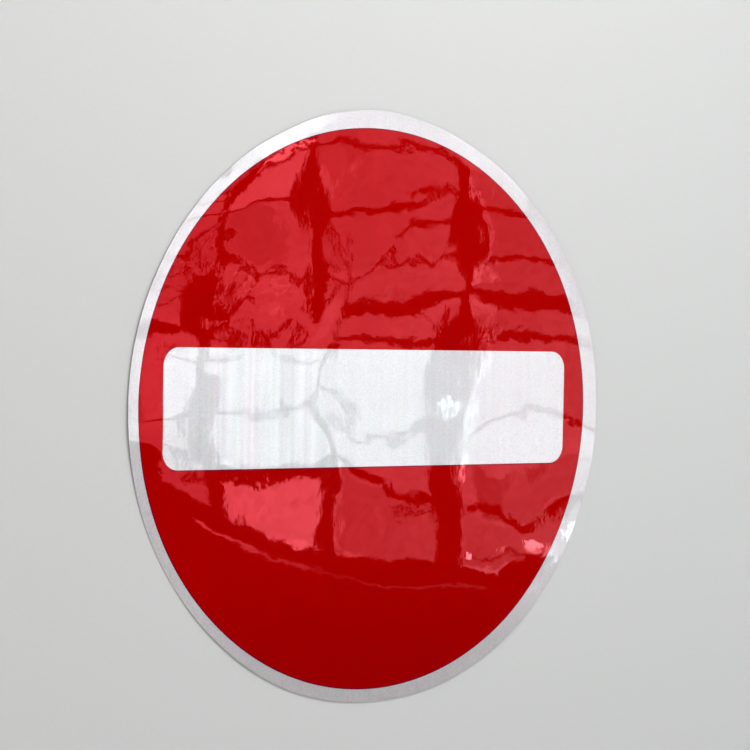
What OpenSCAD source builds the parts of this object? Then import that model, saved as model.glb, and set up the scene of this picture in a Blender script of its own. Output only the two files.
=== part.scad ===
// Round no-entry sign face for road works: a disc cut from white reflective
// sheeting, with a red film laid over it. The white bar and the white border
// are the sheet itself, left clear by the film.
// It lies face up. +Z leaves the printed face, +Y points to the sign's top and
// +X to the reader's right. The origin is the centre of the back.

/* [Sheet] */
// Diameter that the white sheet is cut to
sheet_d = 600; // [360:5:900]
// Thickness of the white sheet, with its backing
sheet_t = 0.5; // [0.3:0.05:1.2]

/* [Red film] */
// Width of the white border, where the film sits in the middle of the cut
border_w = 14.5; // [10:0.5:30]
// Thickness of the red film
film_t = 0.1; // [0.05:0.01:0.3]
// How far the film sits to the left of the middle of the cut
film_left = 3.8; // [0:0.1:6]
// How far the film sits below the middle of the cut
film_down = 0.9; // [0:0.1:6]

/* [White bar] */
// Width of red left between each end of the bar and the border
bar_end_gap = 28.5; // [15:0.5:60]
// Height of the bar
bar_h = 119; // [60:1:160]
// Radius of the bar's corners
bar_corner_r = 18; // [4:0.5:28]
// How far the bar sits above the middle of the film
bar_up = 1; // [0:0.1:5]

/* [Hidden] */
film_d = sheet_d - 2 * border_w;
bar_l = film_d - 2 * bar_end_gap;
$fn = 180;

// The white bar, as a rectangle with round corners
module bar_outline() {
    core_l = bar_l - 2 * bar_corner_r;
    core_h = bar_h - 2 * bar_corner_r;
    square([bar_l, core_h], center = true);
    square([core_l, bar_h], center = true);
    for (side = [-1, 1], level = [-1, 1])
        translate([side * core_l / 2, level * core_h / 2])
            circle(r = bar_corner_r);
}

// The red field, with the bar left open in it
module film_outline() {
    difference() {
        circle(d = film_d);
        translate([0, bar_up]) bar_outline();
    }
}

// White sheeting: its border and its bar stay in view
module reflective_sheet() {
    color("whitesmoke") cylinder(d = sheet_d, h = sheet_t);
}

// Red film, laid on the face of the sheet
module red_film() {
    color("crimson")
        translate([-film_left, -film_down, sheet_t])
            linear_extrude(height = film_t) film_outline();
}

reflective_sheet();
red_film();
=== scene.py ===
# %% [markdown]
# # A round no-entry sign sheet
# This is the face of a round no-entry sign, before it is stuck on its plate at road works.
# A disc is cut from white reflective sheeting, and a red film is laid on it.
# The film leaves a bar and a border open, so both of those are the white sheet itself.
# The sheet is thin and glossy, so its looks come from two things: humps and hollows of a
# millimetre or two at most, and the bright window that they bend in the reflection.
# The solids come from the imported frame, which gives the sizes of both pieces.

# %% Load the frame
import math

import bpy
import numpy as np
from mathutils import Matrix, Vector
from mathutils.geometry import delaunay_2d_cdt


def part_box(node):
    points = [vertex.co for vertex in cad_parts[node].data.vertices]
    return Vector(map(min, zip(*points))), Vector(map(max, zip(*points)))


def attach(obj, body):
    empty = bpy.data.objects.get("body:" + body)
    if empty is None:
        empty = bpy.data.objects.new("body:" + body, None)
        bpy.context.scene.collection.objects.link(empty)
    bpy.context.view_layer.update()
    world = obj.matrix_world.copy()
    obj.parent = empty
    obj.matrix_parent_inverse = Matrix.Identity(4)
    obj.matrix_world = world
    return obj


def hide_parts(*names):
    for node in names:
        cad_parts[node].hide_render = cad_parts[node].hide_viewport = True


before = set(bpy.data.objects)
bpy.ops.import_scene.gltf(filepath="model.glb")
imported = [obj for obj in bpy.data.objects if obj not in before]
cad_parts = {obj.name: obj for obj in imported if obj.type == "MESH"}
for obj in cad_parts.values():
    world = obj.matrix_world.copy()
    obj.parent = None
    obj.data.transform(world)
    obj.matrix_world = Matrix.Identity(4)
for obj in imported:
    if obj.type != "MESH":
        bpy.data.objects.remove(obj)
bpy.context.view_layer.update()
print("frame nodes:", ", ".join(sorted(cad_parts)))

# %% [markdown]
# ## Sizes
# The sheet and the film are measured on the frame, so this script follows a change there.
# The bar has no node of its own, because it is a window in the film. The film's own points
# give it: those well inside its outer edge can only be on the window's edge. Only the radius
# of the bar's corners is repeated from the part's source.

# %% Measure the sheet, the film and the bar
mm = 0.001
bar_corner_r = 18 * mm
outer_band = 5 * mm  # all points of the film's outer edge lie in a band this wide

sheet_low, sheet_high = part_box("reflective_sheet")
film_low, film_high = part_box("red_film")
sheet_radius = (sheet_high.y - sheet_low.y) / 2
sheet_t = sheet_high.z - sheet_low.z
film_radius = (film_high.x - film_low.x) / 2
film_t = film_high.z - film_low.z
film_mid = (film_low + film_high) / 2

film_points = np.array([v.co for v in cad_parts["red_film"].data.vertices])
from_film_mid = np.hypot(film_points[:, 0] - film_mid.x, film_points[:, 1] - film_mid.y)
window_points = film_points[from_film_mid < film_radius - outer_band]
bar_low = window_points.min(axis=0)
bar_high = window_points.max(axis=0)
bar_mid = (bar_low + bar_high) / 2
bar_half = (bar_high - bar_low) / 2
print("sheet radius", round(sheet_radius / mm, 1), "mm, film radius", round(film_radius / mm, 1), "mm")
print("bar", [round(float(2 * s) / mm, 1) for s in bar_half[:2]], "mm")

# %% [markdown]
# ## Outlines
# The film is cut by machine, so its circle and its bar are true. The white sheet is cut out
# by hand afterwards. The knife left a hump at the top and wandered by a millimetre or two
# elsewhere, which shows as a border of uneven width. It could be drawn with a noise, but then
# the hump would be in the wrong place. So a few places along the edge, listed one by one, say how
# far the cut strays there, and a smooth curve joins them.

# %% Draw the outlines
cut_strays = [  # degrees round from the right-hand side, and how far out in mm
    (-160, 0.4), (-135, -0.5), (-110, 0.5), (-88, -0.6), (-66, 0.4), (-43, 1.3),
    (-33, 2.1), (-20, 0.2), (-10, 1.1), (0, 0.2), (12, 1.0), (30, -0.2), (50, -1.6),
    (64, -1.8), (78, 0.6), (90, 3.0), (101, 2.4), (116, 0.3), (140, -0.4), (170, 0.5),
]
cut_tremble = 0.15 * mm
short_waves, long_waves = 23, 5  # trembles in one turn, and the swells that they come and go in


def cut_radius(angle):
    """Radius of the hand-made cut at an angle in radians."""
    at = np.radians([place for place, _ in cut_strays])
    out = np.array([stray for _, stray in cut_strays]) * mm
    at = np.concatenate([at - 2 * np.pi, at, at + 2 * np.pi])
    out = np.tile(out, 3)
    angle = (np.asarray(angle, float) + np.pi) % (2 * np.pi) - np.pi
    before = np.searchsorted(at, angle, side="right") - 1
    share = (angle - at[before]) / (at[before + 1] - at[before])
    share = share * share * (3 - 2 * share)
    stray = out[before] + (out[before + 1] - out[before]) * share
    return sheet_radius + stray + cut_tremble * np.sin(short_waves * angle) * np.sin(long_waves * angle + 1)


def ring(radius, mid, pitch):
    """Points along a closed edge. radius is a number or a function of the angle."""
    reach = radius(0.0) if callable(radius) else radius
    count = int(2 * math.pi * reach / pitch)
    angle = np.linspace(0, 2 * np.pi, count, endpoint=False)
    r = radius(angle) if callable(radius) else radius
    return np.stack([mid[0] + r * np.cos(angle), mid[1] + r * np.sin(angle)], axis=1)


def bar_edge(pitch):
    """Points along the bar's edge, with its round corners."""
    core = bar_half[:2] - bar_corner_r
    points = []
    for turn, side in enumerate([(1, 1), (-1, 1), (-1, -1), (1, -1)]):
        corner = bar_mid[:2] + core * side
        steps = max(6, int(bar_corner_r * math.pi / 2 / pitch))
        for step in range(steps + 1):
            angle = math.pi / 2 * (turn + step / steps)
            points.append(corner + bar_corner_r * np.array([math.cos(angle), math.sin(angle)]))
    closed = []
    for start, end in zip(points, points[1:] + points[:1]):
        parts = max(1, int(round(np.linalg.norm(end - start) / pitch)))
        closed += [start + (end - start) * part / parts for part in range(parts)]
    return np.array(closed)


def outside_bar(points):
    """Distance from the bar's edge, negative inside the bar."""
    past = np.abs(points - bar_mid[:2]) - (bar_half[:2] - bar_corner_r)
    beyond = np.hypot(np.maximum(past[:, 0], 0), np.maximum(past[:, 1], 0))
    return beyond + np.minimum(np.maximum(past[:, 0], past[:, 1]), 0) - bar_corner_r


print("the cut strays out by up to", max(stray for _, stray in cut_strays), "mm")

# %% [markdown]
# ## A fine flat mesh
# A mirror shows every unevenness of its mesh. A grid of equal triangles bends evenly,
# so the inside of each piece is a triangular lattice, and only the last row fits the edge.
# Delaunay triangulation joins the two. The same function lays out the sheet and the film.

# %% Lay out a flat piece
lattice_margin = 5 * mm  # the lattice starts this far out, past the largest stray of the cut
edge_gap = 0.55  # no lattice point comes closer to the edge than this share of the pitch
same_place = 1e-9


def flat_piece(name, edges, inside, pitch):
    """A flat mesh of equal triangles. inside(points) is how deep points lie in the piece."""
    reach = sheet_radius + lattice_margin
    row_h = pitch * math.sqrt(3) / 2
    rows = int(reach / row_h)
    columns = int(reach / pitch) + 1
    j, i = np.mgrid[-rows:rows + 1, -columns:columns + 1]
    lattice = np.stack([(i + 0.5 * (j % 2)) * pitch, j * row_h], axis=-1).reshape(-1, 2)
    lattice = lattice[inside(lattice) > edge_gap * pitch]
    points = np.concatenate(edges + [lattice])
    loops = []
    first = 0
    for edge in edges:
        loops += [(first + k, first + (k + 1) % len(edge)) for k in range(len(edge))]
        first += len(edge)
    flat, _, faces, _, _, _ = delaunay_2d_cdt([Vector(p) for p in points], loops, [], 0, same_place)
    flat = np.array([(p.x, p.y) for p in flat])
    faces = np.array([f for f in faces if len(f) == 3])
    middle = flat[faces].mean(axis=1)
    faces = faces[inside(middle) > 0]
    used = np.unique(faces)
    number = np.zeros(len(flat), int)
    number[used] = np.arange(len(used))
    mesh = bpy.data.meshes.new(name)
    corners = np.column_stack([flat[used], np.zeros(len(used))])
    mesh.from_pydata(corners.tolist(), [], number[faces].tolist())
    mesh.update()
    print(name, "flat:", len(used), "points,", len(faces), "triangles")
    return mesh


def in_sheet(points):
    angle = np.arctan2(points[:, 1], points[:, 0])
    return cut_radius(angle) - np.hypot(points[:, 0], points[:, 1])


def in_film(points):
    to_edge = film_radius - np.hypot(points[:, 0] - film_mid.x, points[:, 1] - film_mid.y)
    return np.minimum(to_edge, outside_bar(points))


# %% Lay out the sheet and the film
sheet_pitch = 3.0 * mm
film_pitch = 2.6 * mm
sheet_edges = [ring(cut_radius, (0, 0), sheet_pitch)]
film_edges = [ring(film_radius, film_mid, film_pitch), bar_edge(film_pitch)]
flat_sheet = flat_piece("reflective_sheet_flat", sheet_edges, in_sheet, sheet_pitch)
flat_film = flat_piece("red_film_flat", film_edges, in_film, film_pitch)

# %% [markdown]
# ## Humps, hollows and dings
# The sheet was rolled and handled before it was laid out, so it isn't flat. It swells and sinks
# by up to a millimetre, and its rim curls down by up to two, at the upper left and all along
# the bottom. Small dings pinch it, most of them at the left above the bar. They are modelled
# like clay: each line is one push of a soft tool, a bell-shaped hump or hollow, given one by one.
# The pushes add up to a height on every point of the flat mesh, so the sheet and the film get
# the same. A noise alone could make such a surface, but not bend the window in the right places.

# %% Push the sheet out of flat
# Each push is x, y, half length, half width in mm, turn in degrees, height in mm.
swells = [
    (-300, -155, 115, 62, -55, -2.2), (290, -175, 100, 65, -60, -1.8), (-205, 270, 110, 38, 42, -1.7),
    (0, -370, 320, 120, 0, -1.4), (205, -56, 85, 62, -45, -0.9), (230, 180, 100, 70, -65, 0.85),
    (-285, -20, 50, 25, 0, 0.65), (25, -180, 130, 50, 0, 0.6), (205, -180, 45, 35, 0, -0.5),
    (-80, 60, 50, 45, 0, 0.45), (-190, 240, 30, 20, 42, -0.4), (-215, -160, 50, 32, -45, -0.35),
]
humps = [
    (-45, -40, 30, 25, 0, 0.3), (116, 50, 46, 32, 0, -0.33), (280, 90, 60, 40, 90, 0.25),
    (-195, 190, 45, 20, 0, 0.25), (88, -8, 50, 45, 0, -0.25), (-200, -12, 50, 28, 0, 0.22),
    (238, -82, 34, 30, -30, 0.22), (-50, 258, 38, 30, 90, -0.22), (-265, 95, 35, 28, 0, 0.2),
    (10, -75, 75, 35, 0, 0.32), (-140, 212, 40, 25, 0, 0.2), (55, 110, 65, 45, -20, -0.2),
    (-108, -105, 45, 50, 0, -0.2), (108, 238, 30, 22, 0, 0.2), (-30, 168, 45, 26, 0, -0.15),
    (240, -18, 40, 30, 0, -0.15), (-165, -125, 50, 35, -20, 0.15), (-103, -8, 16, 20, 0, 0.09),
    (-140, 166, 34, 26, 0, -0.13), (-225, 145, 28, 24, 0, -0.13), (-140, 12, 35, 28, 0, -0.12),
    (-66, 205, 50, 40, 0, -0.12), (98, -88, 30, 42, 0, -0.12), (-155, 90, 30, 25, 0, 0.12),
    (-81, 25, 38, 15, 90, 0.12), (172, -12, 30, 24, 0, 0.12), (88, 95, 30, 24, 0, -0.1),
    (140, 88, 40, 25, -20, -0.1), (-64, -30, 28, 14, -60, 0.1), (118, 126, 22, 22, 0, 0.09),
    (-212, 158, 20, 22, 0, -0.06), (-92, 205, 24, 26, 0, -0.045),
]
dings = [
    (-172, 122, 16, 9, 50, -0.07), (-105, 75, 26, 12, 50, -0.07), (-182, 86, 11, 10, 0, 0.06),
    (-160, 70, 18, 8, 80, 0.06), (-125, 105, 28, 12, 40, 0.06), (268, -103, 14, 7, 45, -0.02),
]
pushes = swells + humps + dings


def pushed(x, y):
    """Height in metres that all pushes together give at places on the sheet."""
    height = np.zeros(len(x))
    for mid_x, mid_y, length, width, turn, high in pushes:
        along = math.radians(turn)
        dx = x - mid_x * mm
        dy = y - mid_y * mm
        u = (dx * math.cos(along) + dy * math.sin(along)) / (length * mm)
        v = (dy * math.cos(along) - dx * math.sin(along)) / (width * mm)
        height += high * mm * np.exp(-(u * u + v * v))
    return height


for mesh in (flat_sheet, flat_film):
    place = np.array([v.co for v in mesh.vertices])
    kept = mesh.attributes.new("pushed", "FLOAT", "POINT")
    kept.data.foreach_set("value", pushed(place[:, 0], place[:, 1]))
print(len(pushes), "pushes")

# %% [markdown]
# ## Nodes and colours
# One function adds a node, sets what it is told and links what it is given.
# Another turns a colour written as sRGB hex into the linear numbers that Blender works in.

# %% Two helpers
def node(tree, kind, inputs=None, **settings):
    """Adds a node. An input is given a number, a colour, an output, or a node for its main output."""
    made = tree.nodes.new(kind)
    for name, value in settings.items():
        setattr(made, name, value)
    for key, value in (inputs or {}).items():
        if isinstance(value, bpy.types.Node):
            value = next(output for output in value.outputs if output.enabled)
        if isinstance(value, bpy.types.NodeSocket):
            tree.links.new(value, made.inputs[key])
        else:
            made.inputs[key].default_value = value
    return made


def colour(hex_code):
    """sRGB hex to linear RGBA."""
    parts = [int(hex_code[k:k + 2], 16) / 255 for k in (1, 3, 5)]
    linear = [p / 12.92 if p <= 0.04045 else ((p + 0.055) / 1.055) ** 2.4 for p in parts]
    return (*linear, 1.0)


print("a middle grey, #808080, is", round(colour("#808080")[0], 3), "in linear light")

# %% [markdown]
# ## Relief
# A Geometry Nodes tree turns a flat layout into the real thin piece. It thickens the layout,
# closes it underneath, and lifts every point by the same rule: the pushes listed above, and the
# small ripples that any film laid by hand has. The rule reads only the place on the sheet, so
# the film follows the sheet under it, whatever its own triangles are. Sculpting could look as
# good, but two sculpted pieces are hard to fit to each other to a tenth of a millimetre.

# %% The relief tree's inputs
relief = bpy.data.node_groups.new("Sheet relief", "GeometryNodeTree")
relief_inputs = {}
for name, kind in [("Geometry", "NodeSocketGeometry"), ("Thickness", "NodeSocketFloat"),
                   ("Underside", "NodeSocketFloat"), ("Ripple Size", "NodeSocketFloat"),
                   ("Ripple Height", "NodeSocketFloat"), ("Tremble Size", "NodeSocketFloat"),
                   ("Tremble Height", "NodeSocketFloat"), ("Seed", "NodeSocketFloat"),
                   ("Face", "NodeSocketMaterial"), ("Back", "NodeSocketMaterial")]:
    relief_inputs[name] = relief.interface.new_socket(name=name, in_out="INPUT", socket_type=kind)
relief.interface.new_socket(name="Geometry", in_out="OUTPUT", socket_type="NodeSocketGeometry")
given = node(relief, "NodeGroupInput").outputs
print("relief inputs:", ", ".join(relief_inputs))


# %% How far each point is lifted
def noise_lift(size, height, seed_step):
    """A lift that swells and sinks, with humps about as wide as size."""
    here = node(relief, "GeometryNodeInputPosition")
    level = node(relief, "ShaderNodeVectorMath", {0: here, 1: (1, 1, 0)}, operation="MULTIPLY")
    scale = node(relief, "ShaderNodeMath", {0: 1.0, 1: size}, operation="DIVIDE")
    seed = node(relief, "ShaderNodeMath", {0: given["Seed"], 1: seed_step}, operation="ADD")
    wave = node(relief, "ShaderNodeTexNoise", {"Vector": level, "W": seed, "Scale": scale, "Detail": 0.0},
                noise_dimensions="4D")
    centred = node(relief, "ShaderNodeMath", {0: wave, 1: 0.5}, operation="SUBTRACT")
    return node(relief, "ShaderNodeMath", {0: centred, 1: height}, operation="MULTIPLY")


ripple = noise_lift(given["Ripple Size"], given["Ripple Height"], 0.0)
tremble = noise_lift(given["Tremble Size"], given["Tremble Height"], 10.0)
by_chance = node(relief, "ShaderNodeMath", {0: ripple, 1: tremble}, operation="ADD")
by_hand = node(relief, "GeometryNodeInputNamedAttribute", {"Name": "pushed"}, data_type="FLOAT")
by_hand = node(relief, "ShaderNodeMath", {0: by_hand, 1: given["Underside"]}, operation="ADD")
lift = node(relief, "ShaderNodeMath", {0: by_chance, 1: by_hand}, operation="ADD")
print("lift:", len(relief.nodes), "nodes")

# %% Thicken, close, lift and dress the layout
weld = 0.01 * mm
down = -0.5  # a face whose normal points lower than this belongs to the underside

faced = node(relief, "GeometryNodeSetMaterial", {"Geometry": given["Geometry"], "Material": given["Face"]})
up = node(relief, "ShaderNodeCombineXYZ", {"Z": 1.0})
top_and_side = node(relief, "GeometryNodeExtrudeMesh", {"Mesh": faced, "Offset": up, "Individual": False,
                                                        "Offset Scale": given["Thickness"]})
under = node(relief, "GeometryNodeFlipFaces", {"Mesh": faced})
whole = node(relief, "GeometryNodeJoinGeometry")
for part in (under, top_and_side):
    relief.links.new(part.outputs["Mesh"], whole.inputs[0])
shell = node(relief, "GeometryNodeMergeByDistance", {"Geometry": whole, "Distance": weld})
offset = node(relief, "ShaderNodeCombineXYZ", {"Z": lift})
shell = node(relief, "GeometryNodeSetPosition", {"Geometry": shell, "Offset": offset})
facing = node(relief, "ShaderNodeSeparateXYZ", {0: node(relief, "GeometryNodeInputNormal")}).outputs["Z"]
is_back = node(relief, "FunctionNodeCompare", {0: facing, 1: down}, operation="LESS_THAN")
shell = node(relief, "GeometryNodeRealizeInstances", {"Geometry": shell})
shell = node(relief, "GeometryNodeSetMaterial",
             {"Geometry": shell, "Selection": is_back, "Material": given["Back"]})
node(relief, "NodeGroupOutput", {"Geometry": shell})
print("whole tree:", len(relief.nodes), "nodes")

# %% [markdown]
# The tree is run by a modifier on the flat layout. Its result is kept as a plain mesh, because
# the piece is only ever moved after this. An edge that turns by more than 30
# degrees stays sharp, so only the rim does, and the face is smooth.

# %% Make a piece from its flat layout
sharp_from = math.radians(30)


def relieve(name, flat, settings):
    """Runs the relief tree on a flat layout and keeps the result as a plain mesh."""
    blank = bpy.data.objects.new(name + "_blank", flat)
    bpy.context.scene.collection.objects.link(blank)
    run = blank.modifiers.new("Relief", "NODES")
    run.node_group = relief
    for key, value in settings.items():
        run[relief_inputs[key].identifier] = value
    blank.update_tag()
    finished = blank.evaluated_get(bpy.context.evaluated_depsgraph_get())
    mesh = bpy.data.meshes.new_from_object(finished)
    blank.modifiers.remove(run)
    bpy.data.objects.remove(blank)
    mesh.name = name
    mesh.shade_smooth()
    mesh.set_sharp_from_angle(angle=sharp_from)
    piece = bpy.data.objects.new(name, mesh)
    bpy.context.scene.collection.objects.link(piece)
    print(name, len(mesh.polygons), "triangles and quads")
    return piece


# %% [markdown]
# ## White sheeting
# The real thing is micro-prismatic reflective sheeting: a clear, glossy acrylic face over rows
# of tiny moulded prisms with a silvery back. So it is part matt white and part soft metal, under
# a clear coat that mirrors sharply. The prisms are moulded in upright bands of uneven width,
# which show as faint stripes, strongest left of the bar's middle. They split light into the
# palest green, pink and blue, and the white is a touch cooler round the left half of the bar.
# One flat white would do from afar, but it would look like paint and not like sheeting.
# Each pattern is worked out from a real spacing in millimetres on Object coordinates.

# %% Helpers for patterns
def start_material(name):
    """A new material with an empty tree, and the place on the piece in metres."""
    made = bpy.data.materials.new(name)
    made.use_nodes = True
    tree = made.node_tree
    tree.nodes.clear()
    return made, tree, node(tree, "ShaderNodeTexCoord").outputs["Object"]


def spots(tree, place, size, detail=1.0, stretch=(1, 1, 1), shift=0.0):
    """Soft spots from 0 to 1, each about as wide as size. Another shift gives other spots."""
    scaled = node(tree, "ShaderNodeVectorMath", {0: place, 1: tuple(s / size for s in stretch)},
                  operation="MULTIPLY")
    return node(tree, "ShaderNodeTexNoise", {"Vector": scaled, "W": shift, "Scale": 1.0, "Detail": detail},
                noise_dimensions="4D")


def ribs_along(tree, across, spacing):
    """Even ribs, as a wave from -1 to 1 along one coordinate."""
    phase = node(tree, "ShaderNodeMath", {0: across, 1: 2 * math.pi / spacing}, operation="MULTIPLY")
    return node(tree, "ShaderNodeMath", {0: phase}, operation="SINE")


# The real cells are too fine to show in the render, so they are drawn as coarse as they need to be.
cell_spacing = 3.1 * mm


def prism_cells(tree, place):
    """The grid of prism cells, as a pattern from -1 to 1."""
    x, y, _ = node(tree, "ShaderNodeSeparateXYZ", {0: place}).outputs
    return node(tree, "ShaderNodeMath", {0: ribs_along(tree, x, cell_spacing),
                                         1: ribs_along(tree, y, cell_spacing)}, operation="MULTIPLY")


def near(tree, place, middle, full_to, gone_at, far_share):
    """A share that is 1 round a middle and far_share from gone_at on."""
    away = node(tree, "ShaderNodeVectorMath", {0: place, 1: middle}, operation="DISTANCE")
    return node(tree, "ShaderNodeMapRange", {"Value": away, "From Min": full_to, "From Max": gone_at,
                                             "To Min": 1.0, "To Max": far_share})


def layered(tree, base, layers):
    """A base share, with each layer's pattern added to it by the layer's strength."""
    for pattern, strength in layers:
        base = node(tree, "ShaderNodeMath", {0: pattern, 1: strength, 2: base}, operation="MULTIPLY_ADD")
    return base


# Rolling leaves the finest ripple on the acrylic face, a few thousandths of a millimetre high.
peel_size = 3.2 * mm
peel_height = 0.008 * mm
print("cells drawn", round(cell_spacing / mm, 1), "mm apart, ripple", round(peel_height / mm, 3), "mm high")

# %% White sheeting: stripes, cells and grain
band_spacing = 15 * mm
rib_spacing = 7.5 * mm  # two ribs to a band
grain_size = 2 * mm
upright = (1, 0.04, 1)  # spots drawn out into stripes, 25 times as long as they are wide
stripes_middle = (-135 * mm, -25 * mm, 0)
stripes_full, stripes_faint = 45 * mm, 110 * mm  # how far from there
faint_share = 0.2

sheeting, tree, place = start_material("White micro-prismatic sheeting, clear acrylic face")
x = node(tree, "ShaderNodeSeparateXYZ", {0: place}).outputs["X"]
clearest = near(tree, place, stripes_middle, stripes_full, stripes_faint, faint_share)
bands = layered(tree, -0.5, [(spots(tree, place, rib_spacing, stretch=upright, shift=1.0), 1.0)])
hues = layered(tree, -0.5, [(spots(tree, place, band_spacing, stretch=upright, shift=9.0), 1.0)])
grain = layered(tree, -0.5, [(spots(tree, place, grain_size, detail=2.0, shift=7.0), 1.0)])
ribs = ribs_along(tree, x, rib_spacing)
bands_here, ribs_here, hues_here = [
    node(tree, "ShaderNodeMath", {0: pattern, 1: clearest}, operation="MULTIPLY")
    for pattern in (bands, ribs, hues)]
pattern = layered(tree, 0.5, [(bands_here, 2.6), (ribs_here, 0.12), (prism_cells(tree, place), 0.12),
                              (grain, 2.0)])
print("white pattern:", len(tree.nodes), "nodes")

# %% White sheeting: colour and shine
# Each step multiplies the white by a colour next to white, or lays a trace of colour over it.
rainbow_size = 9 * mm
rainbow_share = 0.06
cool_middle = (-60 * mm, 0, 0)
cool_full, cool_gone = 130 * mm, 230 * mm  # how far from there

white = node(tree, "ShaderNodeMix", {0: pattern, 6: colour("#C2BBBA"), 7: colour("#D7CFCD")},
             data_type="RGBA")
pink_or_green = node(tree, "ShaderNodeMix", {0: layered(tree, 0.5, [(hues_here, 3.0)]),
                                             6: colour("#FFF8FF"), 7: colour("#F8FFFF")}, data_type="RGBA")
white = node(tree, "ShaderNodeMix", {0: 1.0, 6: white, 7: pink_or_green},
             data_type="RGBA", blend_type="MULTIPLY")
rainbow = node(tree, "ShaderNodeTexNoise", {"Vector": place, "Scale": 1 / rainbow_size, "Detail": 1.0})
white = node(tree, "ShaderNodeMix", {0: rainbow_share, 6: white, 7: rainbow.outputs["Color"]},
             data_type="RGBA", blend_type="OVERLAY")
cooler = near(tree, place, cool_middle, cool_full, cool_gone, 0.0)
white = node(tree, "ShaderNodeMix", {0: cooler, 6: white, 7: colour("#F9FFFF")},
             data_type="RGBA", blend_type="MULTIPLY")

peel = spots(tree, place, peel_size, stretch=(1, 0.6, 1), shift=2.0)
height = layered(tree, peel, [(ribs, 0.1)])
bump = node(tree, "ShaderNodeBump", {"Strength": 1.0, "Distance": peel_height, "Height": height})
# The base is the prisms, part metal and part scattered white. The coat is acrylic, IOR 1.5.
shader = node(tree, "ShaderNodeBsdfPrincipled",
              {"Base Color": white, "Metallic": 0.35, "Roughness": 0.36, "Normal": bump,
               "Coat Weight": 1.0, "Coat Roughness": 0.02, "Coat IOR": 1.5, "Coat Normal": bump})
node(tree, "ShaderNodeOutputMaterial", {"Surface": shader})
print(sheeting.name, len(tree.nodes), "nodes")

# %% [markdown]
# ## Red film
# The red is a transparent coloured acrylic film over the same sheeting. Light goes through it
# twice, so the red is very deep, and what the prisms throw back is red as well. That is why the
# shine is tinted here: only a trace of it stays white. The cells of the sheeting show through
# as a fine grain. Towards the foot of the sign the red is darkened as painted shade, where less
# light falls. A thin dark violet line follows the film's outer edge and the edge below the bar.
# Real transparency would take longer to render and look the same, because the film lies flat
# on what it covers.

# %% Red film: the red, with painted shade at its foot
# Painted shade: below the upper of these heights the red is darkened, down to the given share at the foot.
foot_y, painted_shade_top_y = -280 * mm, -150 * mm
painted_shade_share = 0.83
mottle_wide = 40 * mm
film_grain_size = 2.4 * mm

red_film_look, tree, place = start_material("Red transparent overlay film, acrylic")
x, y, _ = node(tree, "ShaderNodeSeparateXYZ", {0: place}).outputs
mottle = spots(tree, place, mottle_wide, detail=2.0)
grain = layered(tree, -0.5, [(spots(tree, place, film_grain_size, detail=2.0, shift=7.0), 1.0)])
pattern = layered(tree, mottle, [(prism_cells(tree, place), 0.12), (grain, 1.2)])
red = node(tree, "ShaderNodeMix", {0: pattern, 6: colour("#AB0000"), 7: colour("#B80000")},
           data_type="RGBA")
# Painted shade: the red is darkened towards the foot of the sign, where less light falls.
painted_foot_shade = node(tree, "ShaderNodeMapRange", {"Value": y, "From Min": foot_y, "From Max": painted_shade_top_y,
                                           "To Min": painted_shade_share, "To Max": 1.0})
red = node(tree, "ShaderNodeMix", {0: 1.0, 6: red, 7: painted_foot_shade}, data_type="RGBA", blend_type="MULTIPLY")
print("red pattern:", len(tree.nodes), "nodes")

# %% Red film: the dark line along its edges
line_starts, line_full = 1.6 * mm, 0.6 * mm  # how far inside the outer edge
below_bar = float(bar_low[1]) - 0.6 * mm
bar_line_full, bar_line_ends = 0.3 * mm, 1.3 * mm  # how far from its middle

level = node(tree, "ShaderNodeVectorMath", {0: place, 1: (1, 1, 0)}, operation="MULTIPLY")
away = node(tree, "ShaderNodeVectorMath", {0: level, 1: (film_mid.x, film_mid.y, 0)},
            operation="DISTANCE")
outer_line = node(tree, "ShaderNodeMapRange", {"Value": away, "From Min": film_radius - line_starts,
                                               "From Max": film_radius - line_full, "To Max": 0.7})
up_or_down = node(tree, "ShaderNodeMath", {0: y, 1: below_bar}, operation="SUBTRACT")
up_or_down = node(tree, "ShaderNodeMath", {0: up_or_down}, operation="ABSOLUTE")
bar_line = node(tree, "ShaderNodeMapRange", {"Value": up_or_down, "From Min": bar_line_full,
                                             "From Max": bar_line_ends, "To Min": 0.6, "To Max": 0.0})
sideways = node(tree, "ShaderNodeMath", {0: x, 1: float(bar_mid[0])}, operation="SUBTRACT")
sideways = node(tree, "ShaderNodeMath", {0: sideways}, operation="ABSOLUTE")
straight = node(tree, "ShaderNodeMath", {0: sideways, 1: float(bar_half[0]) - 0.5 * bar_corner_r},
                operation="LESS_THAN")
bar_line = node(tree, "ShaderNodeMath", {0: bar_line, 1: straight}, operation="MULTIPLY")
line = node(tree, "ShaderNodeMath", {0: outer_line, 1: bar_line}, operation="MAXIMUM")
red = node(tree, "ShaderNodeMix", {0: line, 6: red, 7: colour("#4C0A38")}, data_type="RGBA")
print("edge line:", round((line_starts - line_full) / mm, 1), "mm of fading")

# %% Red film: shine
red_shine = (1.0, 0.035, 0.065, 1.0)  # what is mirrored comes back through the red

peel = spots(tree, place, peel_size, stretch=(1, 0.6, 1), shift=2.0)
bump = node(tree, "ShaderNodeBump", {"Strength": 1.0, "Distance": peel_height, "Height": peel})
# Acrylic has an IOR of 1.5, and a rolled face is nearly as smooth as glass.
shader = node(tree, "ShaderNodeBsdfPrincipled",
              {"Base Color": red, "Roughness": 0.02, "IOR": 1.5, "Normal": bump,
               "Specular Tint": red_shine})
node(tree, "ShaderNodeOutputMaterial", {"Surface": shader})
print(red_film_look.name, len(tree.nodes), "nodes")

# %% [markdown]
# ## Backing and studio
# The underside is the liner that covers the glue, a dull off-white. The same short function
# makes it, the floor and the dark wall, each one colour with the faint mottle of real paint.

# %% Backing and studio materials
mottle_size = 3 * mm
mottle_depth = 0.94  # the darkest spots keep this share of the colour


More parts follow.
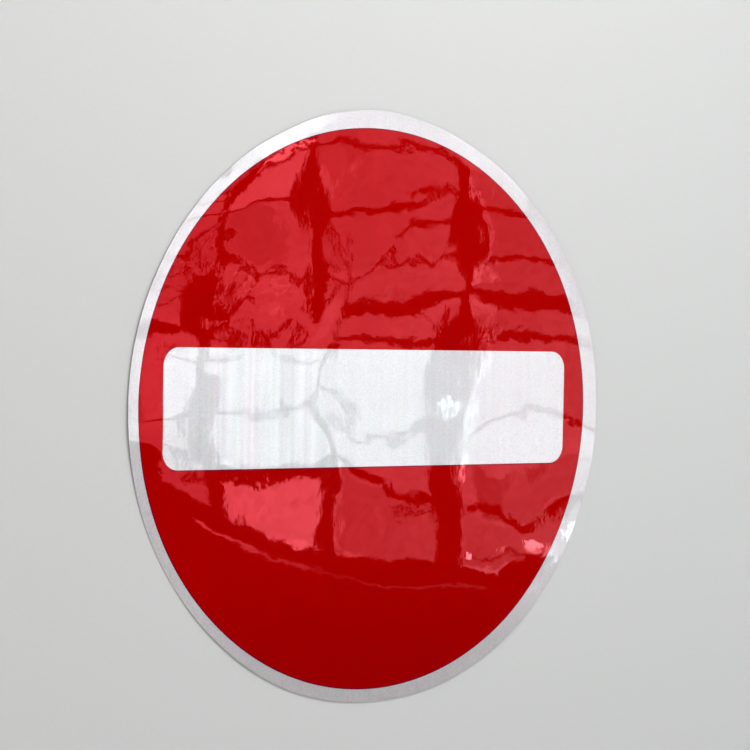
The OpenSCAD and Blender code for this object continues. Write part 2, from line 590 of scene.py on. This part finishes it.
def plain(name, hex_code, roughness):
    """A dull material of one colour with a faint mottle."""
    made, tree, place = start_material(name)
    bright = colour(hex_code)
    dark = tuple(c * mottle_depth for c in bright[:3]) + (1.0,)
    mottle = spots(tree, place, mottle_size, detail=3.0)
    shade = node(tree, "ShaderNodeMix", {0: mottle, 6: dark, 7: bright}, data_type="RGBA")
    shader = node(tree, "ShaderNodeBsdfPrincipled", {"Base Color": shade, "Roughness": roughness})
    node(tree, "ShaderNodeOutputMaterial", {"Surface": shader})
    return made


backing = plain("Adhesive backing, matte vinyl", "#C9C8C4", 0.6)
print(backing.name, len(backing.node_tree.nodes), "nodes")

# %% [markdown]
# ## The two pieces
# Both layouts go through the same relief. The sheet's lowest point is then set on the floor,
# and the film goes down with it, so the back still touches what it lies on.

# %% Make both pieces
shared = {"Ripple Size": 26 * mm, "Ripple Height": 0.08 * mm, "Tremble Size": 10 * mm,
          "Tremble Height": 0.022 * mm, "Seed": 3.0, "Back": backing}
sheet = relieve("reflective_sheet_face", flat_sheet,
                {"Thickness": sheet_t, "Underside": 0.0, "Face": sheeting, **shared})
film = relieve("red_film_face", flat_film,
               {"Thickness": film_t, "Underside": sheet_t, "Face": red_film_look, **shared})
lift_off = -min(v.co.z for v in sheet.data.vertices)
for piece in (sheet, film):
    piece.data.transform(Matrix.Translation((0, 0, lift_off)))
print("relief spans", round((max(v.co.z for v in sheet.data.vertices)) / mm, 2), "mm")

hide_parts("reflective_sheet")
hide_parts("red_film")
for piece in (sheet, film):
    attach(piece, "root")

# %% [markdown]
# ## Camera
# The photograph was taken from the sign's left, about 38 degrees off its axis and a little
# above the middle. The circle and the bar gave the viewpoint: their edges have known shapes,
# so the camera was moved until they lay on the photograph's. The sheet lies flat here,
# so the same viewpoint looks down on it.

# %% Camera
camera_azimuth = math.radians(-37.74)
camera_rise = math.radians(1.337)
camera_roll = math.radians(0.759)
camera_distance = 2.811
camera_aim = Vector((-3.7 * mm, 33.7 * mm, film_high.z + lift_off))
lens = 132.5  # the camera's own millimetres, as is the sensor
sensor = 36
gloss_point = Vector((film_mid.x, film_mid.y, film_high.z + lift_off))

back = Vector((math.sin(camera_azimuth) * math.cos(camera_rise), math.sin(camera_rise),
               math.cos(camera_azimuth) * math.cos(camera_rise)))
camera_place = gloss_point + back * camera_distance
forward = (camera_aim - camera_place).normalized()
level_right = forward.cross(Vector((0, 1, 0))).normalized()
level_up = level_right.cross(forward)
right = level_right * math.cos(camera_roll) + level_up * math.sin(camera_roll)
up_way = right.cross(forward)

camera_data = bpy.data.cameras.new("Camera")
camera_data.lens = lens
camera_data.sensor_width = sensor
camera = bpy.data.objects.new("Camera", camera_data)
bpy.context.scene.collection.objects.link(camera)
camera.matrix_world = Matrix((
    (right.x, up_way.x, -forward.x, camera_place.x),
    (right.y, up_way.y, -forward.y, camera_place.y),
    (right.z, up_way.z, -forward.z, camera_place.z),
    (0, 0, 0, 1),
))
bpy.context.scene.camera = camera
print("camera", [round(c, 3) for c in camera_place], "m")

# %% [markdown]
# ## Floor, sky and key light
# A pale floor, a soft even sky and one soft lamp from the sign's top side. Together they light
# a flat sheet at a plain level, so that a colour renders about as it is written. More lamps
# would only add spots to the gloss, and the window below is all that it should mirror.

# %% Floor
four_corners = [(-1, -1), (1, -1), (1, 1), (-1, 1)]


def stage_mesh(name, corners, faces, material):
    """A mesh that belongs to the studio and not to the object."""
    mesh = bpy.data.meshes.new(name)
    mesh.from_pydata(corners, [], faces)
    mesh.materials.append(material)
    made = bpy.data.objects.new(name, mesh)
    bpy.context.scene.collection.objects.link(made)
    return made


floor_half = 6.0
floor_level = -0.1 * mm  # just under the sheet, so that the two never share a plane
floor_corners = [(sx * floor_half, sy * floor_half, floor_level) for sx, sy in four_corners]
floor_paint = plain("Studio floor, matte paint", "#DCDCDA", 0.8)
floor = stage_mesh("floor", floor_corners, [(0, 1, 2, 3)], floor_paint)
print(floor.name, 2 * floor_half, "m wide")

# %% Sky and key light
sky_strength = 0.72
key_size = 0.9
key_watts = 14
key_place = Vector((0.1, 1.3, 1.2))

world = bpy.data.worlds.new("Studio")
bpy.context.scene.world = world
world.use_nodes = True
world.node_tree.nodes.clear()
sky = node(world.node_tree, "ShaderNodeBackground", {"Color": colour("#F7F7F7"), "Strength": sky_strength})
node(world.node_tree, "ShaderNodeOutputWorld", {"Surface": sky})

key = bpy.data.lights.new("key_light", "AREA")
key.shape = "DISK"
key.size = key_size
key.energy = key_watts
key_light = bpy.data.objects.new("key_light", key)
bpy.context.scene.collection.objects.link(key_light)
key_light.location = key_place
key_light.rotation_euler = (-key_place).to_track_quat("-Z", "Y").to_euler()
key_light.visible_camera = False
print("key light", round(key_place.length, 2), "m from the sign's middle")

# %% [markdown]
# ## The window in the gloss
# What makes the sheet look wet is a large window that it mirrors, with three dark uprights and
# rails that fan out to the right. It could be painted into the material, but a real window of
# lamps bends in the relief by itself. It is planned on the sign: each corner is given as the
# place, in millimetres, where a dead flat sheet would show it. From there the mirrored line of
# sight carries it on to the window's plane. Behind the panes stands a black wall, so that all
# that isn't window mirrors as nothing.

# %% Where a place on a flat sheet looks to
window_distance = 5.0  # metres along the line of sight, by way of the sheet
wall_distance = 5.05
layer_gap = 0.004


def mirrored(direction):
    return Vector((direction.x, direction.y, -direction.z))


eye = mirrored(camera_place - gloss_point) + gloss_point
look = mirrored(forward)


def seen_at(x, y, distance=window_distance):
    """The point in the room that a flat sheet shows at x, y in mm."""
    ray = Vector((x * mm, y * mm, gloss_point.z)) - eye
    return eye + ray * (distance / ray.dot(look))


print("the sign's middle mirrors", [round(c, 2) for c in seen_at(0, 0)], "m")

# %% [markdown]
# The window is seen aslant, so its rails run together far off to the left. A place in it is
# therefore written as x and a fan height: the height that its rail has at the sign's middle.
# So a straight rail keeps one number from end to end. The layers of light, dark and lit shapes
# stand a few millimetres apart, so that the one in front hides what is behind it.

# %% Shapes of light
fan_x = -1750  # the rails run together here, in mm on the sheet
fan_y = 173
patch_layer, blind_layer, dark_layer, lit_layer, front_layer, lamp_layer = 1, 1.5, 2, 3, 4, 5
no_light = 0.0

light_corners = []
light_faces = []
light_level = []


def on_fan(x, height):
    """Height at x of the fan line that has this height at the middle of the sign."""
    return fan_y + (height - fan_y) * (x - fan_x) / (0 - fan_x)


def add_shape(points, light, layer=0):
    """A flat shape that shines, from places on the sign. A higher layer stands in front."""
    first = len(light_corners)
    for x, height in points:
        light_corners.append(seen_at(x, on_fan(x, height), window_distance - layer * layer_gap))
    light_faces.append(tuple(range(first, first + len(points))))
    light_level.append(light)


def add_line(points, wide, light, layer):
    """A strip of even width along a few points. Each stretch runs on a little past its ends."""
    for (x0, height0), (x1, height1) in zip(points, points[1:]):
        along = Vector((x1 - x0, height1 - height0)).normalized()
        side = Vector((-along.y, along.x)) * wide / 2
        start = Vector((x0, height0)) - along * wide / 4
        end = Vector((x1, height1)) + along * wide / 4
        add_shape([start - side, end - side, end + side, start + side], light, layer)


print("a straight rail falls from", round(on_fan(-280, 0)), "to", round(on_fan(280, 0)), "mm")

# %% [markdown]
# ### Panes
# The uprights and rails are what the panes leave free, so they need no shapes of their own.
# Each pane has its own daylight, brightest at the foot on the left and dullest on the right.

# %% Panes
uprights = [(-210, 24), (-76, 24), (105, 32)]  # middle and width
rail_heights = [-85, -12, 74, 108, 150, 204, 265]
rail_widths = [  # one row for each column of panes; 0 where the rail wanders and is drawn later
    [0, 8, 0, 0, 7, 8, 5],
    [0, 0, 0, 0, 0, 8, 5],
    [0, 0, 8, 14, 0, 0, 5],
    [0, 0, 8, 18, 7, 8, 5],
]
window_left, window_right, window_bottom, window_top = -420, 520, -141, 330
pane_light = [  # one row for each column of panes, from its lowest pane to its highest
    [4.5, 5.0, 5.5, 5.0, 4.4, 4.6, 5.5, 6.0],
    [9.0, 4.8, 4.6, 4.8, 4.8, 4.4, 6.8, 7.2],
    [3.3, 4.1, 4.3, 4.4, 4.2, 3.4, 3.3, 3.5],
    [3.0, 4.0, 3.6, 2.9, 2.7, 2.5, 2.8, 3.0],
]


def openings(low, bars, high):
    """The stretches that are left open between bars, as pairs."""
    edges = [low]
    for middle, wide in bars:
        edges += [middle - wide / 2, middle + wide / 2]
    edges.append(high)
    return list(zip(edges[::2], edges[1::2]))


columns = openings(window_left, uprights, window_right)
for (left, right_side), widths, lights in zip(columns, rail_widths, pane_light):
    rows = openings(window_bottom, list(zip(rail_heights, widths)), window_top)
    for (low, high), light in zip(rows, lights):
        add_shape([(left, low), (right_side, low), (right_side, high), (left, high)], light)
print(len(light_faces), "panes")

# %% [markdown]
# ### What stands in the window
# A real window is never only panes. Cords and thin bars cross it, its jambs catch the sun on one
# side, lamps burn low on the right, and bushes outside hide the foot of the left pane. Where the
# sheet is pinched the rails look broken, so there they are drawn piece by piece.
# Light patches lie at the back, dark lines before them, and lit edges and lamps in front.

# %% Light patches
light_patches = [  # points, light
    # where the first two uprights are broken off by the pinched sheet
    ([(-88, 57), (-31, 57), (-31, 118), (-54, 118), (-70, 106), (-81, 104), (-98, 101), (-90, 118),
      (-89, 118)], 4.8),
    ([(-88.5, -10), (-63.5, -10), (-63.5, 57), (-88.5, 57)], 4.8),
    ([(-208, 19), (-197.5, 17), (-197.5, 48), (-208, 48)], 5.2),
    # duller air low on the right
    ([(150, -80), (216, -80), (216, -38), (150, -38)], 1.8),
    ([(216, -80), (300, -80), (300, -38), (216, -38)], 2.9),
    # along the border, where the window's frame is lighter or duller than its panes
    ([(-90, 280), (-62, 279), (-57, 282), (-57, 330), (-90, 330)], 7.0),
    ([(86, 271), (100, 266), (124, 256), (140, 248), (156, 235), (172, 221), (180, 214),
      (190, 330), (86, 330)], 4.6),
    ([(180, 212), (196, 199), (212, 185), (232, 163), (252, 141), (268, 124), (274, 102),
      (520, 102), (520, 330), (190, 330)], 1.3),
    ([(-420, -30), (-291, -30), (-291, 30), (-420, 30)], 3.2),
    # the bright foot of the lower left pane, and the right end of the bar
    ([(-199, -152), (-166, -149), (-132, -143), (-108, -143), (-88, -144), (-88, -140),
      (-199, -140)], 9.0),
    ([(238, -10), (520, -10), (520, 72), (238, 72)], 2.8),
    # the sunny frame at the upper left
    ([(-262, 306), (-247, 306), (-227, 295), (-190, 289), (-190, 330), (-262, 330)], 7.0),
    ([(-172, 280), (-150, 280), (-130, 278), (-111, 276), (-88, 273), (-64, 277), (-72, 269),
      (-90, 266), (-110, 268), (-134, 266), (-155, 268), (-172, 273)], 15.0),
]
for points, light in light_patches:
    add_shape(points, light, patch_layer)
print(len(light_patches), "light patches")

# %% Dark patches
dark_patches = [
    # the first upright swells at the bar, and the rail below it is broad
    [(-222, 10), (-231, 8), (-232, -1), (-228, -23), (-217, -60), (-198, -60), (-196, -37),
     (-189, 2), (-199, 16)],
    [(-198, -87), (-177, -87), (-148, -85), (-115, -80), (-104, -75), (-88, -75), (-88, -92),
     (-109, -95), (-113, -100), (-133, -101), (-140, -95), (-170, -98), (-198, -101)],
    # the second upright ends above the bar, and the first one is broad there
    [(-84, 134), (-80, 136), (-80, 117), (-71, 118), (-62, 111), (-81, 104), (-99, 101),
     (-94, 108), (-87, 121)],
    [(-219, 149), (-213, 140), (-198, 118), (-194, 104), (-195, 90), (-203, 78), (-210, 62),
     (-219, 54), (-227, 58), (-230, 97), (-230, 122), (-228, 143)],
    # shadows at the left border, beside the first upright's foot and at the upper left
    [(-300, 56), (-222, 60), (-222, 55), (-240, 43), (-262, 36), (-300, 34)],
    [(-199, -100), (-190, -104), (-191, -128), (-199, -134)],
    [(-246, 303), (-227, 291), (-200, 286), (-184, 284), (-176, 278), (-198, 264), (-222, 272),
     (-236, 288)],
    # the third upright swells at the bar
    [(89, 66), (77, 47), (77, 13), (82, -3), (79, -19), (83, -30), (89, -40)],
    # the sill, which rises to the right
    [(20, -142), (43, -134), (121, -135), (121, -146), (20, -146)],
    [(121, -146), (173, -143), (213, -141), (227, -137), (240, -131), (256, -126), (268, -122),
     (283, -118), (300, -114), (520, -106), (520, -150), (121, -150)],
    # the rail that dips at the lower right
    [(208, -65), (233, -72), (246, -82), (258, -85), (263, -80), (269, -81), (273, -93),
     (262, -95), (250, -93), (234, -84), (208, -75)],
]
for points in dark_patches:
    add_shape(points, no_light, dark_layer)
print(len(dark_patches), "dark patches")

# %% Rails that wander
dark_lines = [  # points and width
    # across the bar, from its middle to the right
    ([(-62, 3), (-49, 1), (-20, -5), (-8, -16), (-4, -19), (26, -19), (40, -16)], 3.5),
    ([(40, -16), (58, -9)], 3.5),
    ([(58, -9), (89, -3)], 6),
    ([(121, -15), (147, -10), (168, -5), (190, -1), (205, -4), (214, -8), (225, -12), (240, -8),
      (520, -4)], 4),
    # across the bar, at its left
    ([(-198, -12), (-181, -13), (-153, -9), (-143, -11)], 6),
    ([(-143, -11), (-139, -19), (-131, -24)], 5),
    ([(-131, -24), (-138, -15), (-111, -15), (-86, -14)], 4),
    # the second upright, where it bends through the bar
    ([(-31, 61), (-36, 46), (-54, 27), (-67, -1), (-72, -14)], 14),
    # below the bar
    ([(-64, -66), (-30, -72), (-11, -74), (11, -72)], 12),
    ([(11, -72), (22, -91)], 11),
    ([(22, -91), (62, -92), (67, -86), (89, -85)], 8),
    ([(22, -109), (89, -92)], 2.5),
    ([(121, -82), (145, -76), (173, -70), (201, -65), (212, -70)], 8),
    # above the bar
    ([(-170, 124), (-167, 131), (-148, 139), (-129, 143), (-105, 139), (-97, 135), (-85, 140)], 4),
    ([(-64, 138), (-28, 128), (-18, 139), (-14, 142), (6, 158), (15, 148), (26, 145), (40, 147),
      (67, 140)], 4.5),
    ([(67, 140), (81, 153), (92, 158)], 4.5),
    ([(-64, 196), (-39, 194), (-23, 195), (19, 204), (49, 206)], 9),
    ([(49, 206), (62, 213)], 5),
    ([(36, 216), (58, 226), (68, 216), (93, 207)], 5.5),
    ([(11, 168), (23, 173)], 3),
    ([(23, 173), (41, 190), (57, 188), (92, 191)], 6),
    # at the lower left border
    ([(-250, -123), (-239, -116), (-226, -106)], 5),
    # over the left border and the left half of the bar
    ([(-265, 27), (-232, 31), (-198, 29), (-179, 29)], 3.5),
    ([(-135, 41), (-135, 25), (-112, 24), (-90, 30), (-67, 38)], 3),
    # at the left border, above the bar
    ([(-300, 129), (-245, 132), (-230, 139), (-219, 147)], 2.5),
    ([(-300, 121), (-239, 124), (-222, 123)], 2.5),
    ([(-268, 95), (-247, 101), (-240, 110), (-222, 114)], 3),
    # thin bars at the upper left
    ([(-222, 277), (-212, 277), (-180, 273), (-150, 268)], 2.5),
    ([(-196, 285), (-172, 278), (-150, 277), (-130, 275), (-111, 273), (-88, 271), (-62, 276)], 3),
]
for points, wide in dark_lines:
    add_line(points, wide, no_light, dark_layer)
print(len(dark_lines), "stretches of rail")

# %% Cords and thin bars
cords = [  # points and width
    # the cord that hangs beside the second upright
    ([(-61, 183), (-45, 172), (-38, 166), (-30, 158), (-28, 138), (-29, 119), (-31, 108),
      (-35, 90), (-31, 61)], 4),
    ([(-73, 143), (-51, 157), (-50, 145)], 3.5),
    ([(-49, 129), (-56, 119), (-72, 113)], 5),
    # the tangle at the left, above the bar
    ([(-202, 145), (-187, 147), (-162, 144), (-159, 130), (-169, 126)], 6),
    ([(-204, 93), (-189, 97), (-181, 107), (-168, 114), (-157, 111)], 6),
    ([(-201, 92), (-188, 108), (-172, 120), (-168, 127)], 3),
    ([(-207, 73), (-198, 53), (-185, 50), (-183, 56), (-182, 70)], 3),
    ([(-183, 54), (-185, 44)], 7),
    ([(-172, 80), (-158, 60), (-145, 40)], 8),
    ([(-206, 63), (-209, 52), (-208, 42)], 3),
    ([(-157, 42), (-141, 61), (-119, 77), (-114, 87)], 5),
    ([(-132, 58), (-127, 76), (-117, 88)], 3.5),
    # the thin bar between the lamps
    ([(150, -125), (173, -128), (194, -131), (214, -128), (229, -116)], 3),
    ([(229, -116), (252, -123), (278, -123)], 3),
]
for points, wide in cords:
    add_line(points, wide, no_light, dark_layer)
print(len(cords), "stretches of cord")

# %% Lit edges
lit_lines = [  # points, width, light
    # along the third upright, from its foot up
    ([(124, -140), (124, -56)], 3, 5.0),
    ([(128, -52), (129, -27)], 7, 10.0),
    ([(131, -13), (131, 8)], 9, 7.0),
    ([(131, 8), (128, 30)], 5, 7.0),
    ([(129, 30), (126, 46), (129, 62)], 2.5, 8.0),
    ([(129, 66), (136, 102)], 5, 6.5),
    ([(124, 152), (124, 200)], 4, 7.0),
    ([(123, 207), (124, 240)], 5, 7.0),
    # along the second upright
    ([(-63, -141), (-63, -104)], 5, 7.5),
    ([(-62, -104), (-56, -78)], 3, 7.0),
    ([(-59, 216), (-58, 246)], 7, 6.0),
    # along the first upright, and in the tangle beside it
    ([(-213, 190), (-214, 215)], 3, 6.0),
    ([(-208, 166), (-223, 141)], 3, 5.5),
    ([(-224, 147), (-217, 141)], 3, 6.0),
    ([(-210, 142), (-197, 128)], 2.5, 6.0),
    ([(-186, 137), (-170, 128)], 3, 6.0),
    ([(-200, 96), (-188, 112), (-174, 123)], 2, 8.0),
    ([(-212, 66), (-206, 76)], 3, 8.0),
    ([(-176, 128), (-148, 126), (-133, 134), (-116, 133)], 2, 8.0),
    ([(-150, 120), (-125, 127)], 2, 7.0),
    # the faint lower line, which fades to the right
    ([(-252, -179), (-231, -181), (-196, -178)], 5, 7.0),
    ([(-196, -178), (-143, -170)], 5, 5.5),
    ([(-143, -170), (-120, -168), (-93, -170)], 4, 3.0),
    ([(-93, -170), (-28, -184)], 3, 1.3),
    ([(-28, -184), (18, -189), (52, -185), (89, -181)], 4, 1.2),
    ([(89, -181), (124, -168), (146, -167)], 4, 1.2),
    ([(146, -167), (180, -164)], 4, 1.0),
    # the frame at the upper left
    ([(-241, 297), (-215, 283), (-186, 280)], 1.5, 6.0),
    # along the sill
    ([(-112, -142), (-88, -143)], 5, 12.0),
    ([(-60, -145), (-25, -139)], 4, 6.0),
    ([(124, -142), (173, -140), (213, -138)], 4, 6.5),
    ([(213, -138), (227, -134), (239, -130)], 4, 5.5),
    ([(262, -117), (284, -116)], 4, 9.0),
]
for points, wide, light in lit_lines:
    add_line(points, wide, light, lit_layer)
print(len(lit_lines), "lit lines")

# %% Flares, lamps and blinds
front_shapes = [  # points, light, layer
    # flares along the third upright
    ([(113, 153), (116, 124), (136, 130), (129, 143), (120, 151)], 7.5, front_layer),
    ([(129, 151), (137, 136), (145, 122), (139, 137), (133, 148)], 7.5, front_layer),
    ([(115, 108), (113, 88), (119, 86), (122, 98), (127, 90), (133, 103),
      (124, 102)], 6.5, front_layer),
    ([(99, 14), (103, 18), (108, 17), (109, 12), (106, 8), (107, -1), (104, 1),
      (102, 8)], 10.0, front_layer),
    ([(126, -55), (131, -55), (133, -36), (127, -36)], 22.0, front_layer),
    # the lamp at the right border
    ([(261, -114), (264, -104), (272, -102), (284, -105), (283, -114)], 20.0, front_layer),
    # the low lamp, in its dark shade
    ([(129, -124), (134, -131), (146, -131), (151, -124), (146, -117),
      (134, -117)], 0.5, front_layer),
    ([(132, -124), (136, -129), (144, -129), (147, -124), (143, -119),
      (136, -119)], 30.0, lamp_layer),
    # glints on the sill
    ([(197, -114), (199, -119), (205, -123), (203, -117)], 11.0, front_layer),
    ([(214, -120), (218, -114), (229, -113), (222, -118)], 11.0, front_layer),
    # a flare in the tangle
    ([(-149, 109), (-142, 114), (-122, 102), (-122, 90), (-137, 88)], 6.5, front_layer),
    # the blind that shines behind the cord, and a drawn one in the pane above the tangle
    ([(-47, 120), (-37, 115), (-38, 102), (-43, 83), (-114, 59), (-86, 86), (-60, 103),
      (-54, 117)], 6.0, blind_layer),
    ([(-183, 195), (-154, 203), (-144, 193), (-115, 179), (-122, 168), (-116, 163), (-123, 149),
      (-131, 146), (-146, 150), (-157, 147), (-179, 153), (-193, 152)], 2.9, blind_layer),
]
for points, light, layer in front_shapes:
    add_shape(points, light, layer)
print(len(front_shapes), "flares, lamps and blinds")

# %% Bushes
bushes = [  # middle, half width and height
    (-195, 5, 22), (-188, 4, 10), (-181, 6, 14), (-174, 3, 9), (-169, 4, 22), (-163, 3, 8),
    (-158, 5, 25), (-151, 4, 7), (-146, 5, 9), (-139, 6, 6), (-131, 7, 7), (-122, 6, 4),
]
below_panes = 3
ground_bends_at, ground_slope = -130, 0.14  # left of there the ground falls away
for x, wide, high in bushes:
    foot = window_bottom - below_panes + min(0, (x - ground_bends_at) * ground_slope)
    top_left = (x - wide / 3, foot + high * 0.9)
    top_right = (x + wide / 3, foot + high)
    add_shape([(x - wide, foot), (x + wide, foot), top_right, top_left], no_light, front_layer)
print(len(bushes), "bushes")

# %% [markdown]
# ### Daylight
# All shapes are one mesh, and each face carries its own light as an attribute, so one glowing
# material does for all. The daylight is uneven: soft clouds lie over whole panes, and small
# spots over each. The red film keeps only a trace of the green and blue that it mirrors, so
# the brightest shapes get more of both, and look nearly white in it.

# %% Light the window
cloud_size = 160 * mm
speckle_size = 10 * mm
bright_from, bright_to = 6.0, 9.0  # the light levels between which the tone turns
plain_tone = (0.99, 1.03, 1.07, 1.0)
bright_tone = (1.0, 1.25, 1.3, 1.0)

daylight, tree, place = start_material("Daylight behind window panes")
level = node(tree, "ShaderNodeAttribute", attribute_name="light").outputs["Fac"]
clouds = layered(tree, 0.75, [(spots(tree, place, cloud_size, detail=2.0), 0.5)])
speckle = layered(tree, 0.35, [(spots(tree, place, speckle_size, shift=5.0), 1.3)])
bright = node(tree, "ShaderNodeMapRange", {"Value": level, "From Min": bright_from, "From Max": bright_to})
tone = node(tree, "ShaderNodeMix", {0: bright, 6: plain_tone, 7: bright_tone}, data_type="RGBA")
uneven = node(tree, "ShaderNodeMath", {0: clouds, 1: speckle}, operation="MULTIPLY")
strength = node(tree, "ShaderNodeMath", {0: level, 1: uneven}, operation="MULTIPLY")
glow = node(tree, "ShaderNodeEmission", {"Color": tone, "Strength": strength})
node(tree, "ShaderNodeOutputMaterial", {"Surface": glow})

panes = stage_mesh("window_panes", light_corners, light_faces, daylight)
panes.data.attributes.new("light", "FLOAT", "FACE").data.foreach_set("value", light_level)
print(len(light_faces), "panes, lines and small shapes")

# %% The dark wall behind it
wall_half = 900  # in mm on the sign, as the places of the window are
wall_corners = [seen_at(sx * wall_half, sy * wall_half, wall_distance) for sx, sy in four_corners]
wall_paint = plain("Room wall, black paint", "#0A0A0A", 0.9)
wall = stage_mesh("window_wall", wall_corners, [(0, 1, 2, 3)], wall_paint)
for made in (panes, wall):
    made.visible_camera = False
print(wall.name, [round(c, 1) for c in wall.dimensions], "m")

# %% [markdown]
# ## Finish
# The view transform stays plain.

# %% Finish
bpy.context.scene.view_settings.view_transform = "Standard"
